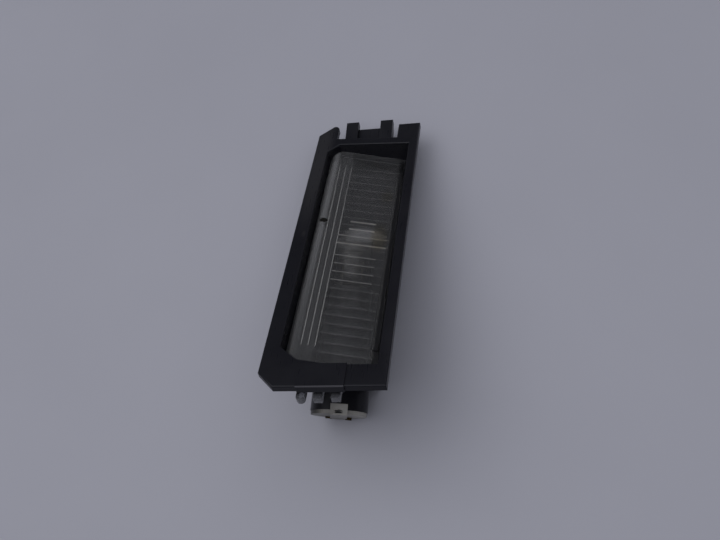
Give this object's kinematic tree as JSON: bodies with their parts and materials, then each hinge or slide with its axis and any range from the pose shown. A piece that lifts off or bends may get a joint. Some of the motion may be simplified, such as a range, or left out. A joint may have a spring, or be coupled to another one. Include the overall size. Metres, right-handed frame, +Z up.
{
  "type": "number plate lamp",
  "caption": "Slim car number plate lamp: a black moulded housing with a sloping frame and snap tongue, a fluted clear lens, and a wedge-base bulb in a plug-in grey holder.",
  "frame": {"origin": "the middle of the lamp's outline in plan, on the surface it lies on", "axes": "+Z up, +Y along the lamp from the bulb holder towards the snap tongue, +X across it to the right; the lens frame slopes down towards +Y"},
  "size_m": [0.03, 0.0946, 0.0408],
  "materials": {
    "housing_plastic": "fine-grained black moulding",
    "lens_plastic": "clear moulded, slightly hazed by dust",
    "holder_plastic": "light grey moulding",
    "seal_rubber": "matt black",
    "contact_brass": "stamped, dulled",
    "bulb_glass": "clear",
    "lead_wire": "drawn wire",
    "filament_wire": "coiled wire"
  },
  "bodies": {
    "root": {"housing": "housing_plastic", "lens": "lens_plastic", "bulb_holder": "holder_plastic", "holder_seal": "seal_rubber", "contact_left": "contact_brass", "contact_right": "contact_brass", "bulb_glass": "bulb_glass", "lead_left": "lead_wire", "lead_right": "lead_wire", "filament": "filament_wire"}
  },
  "joints": []
}
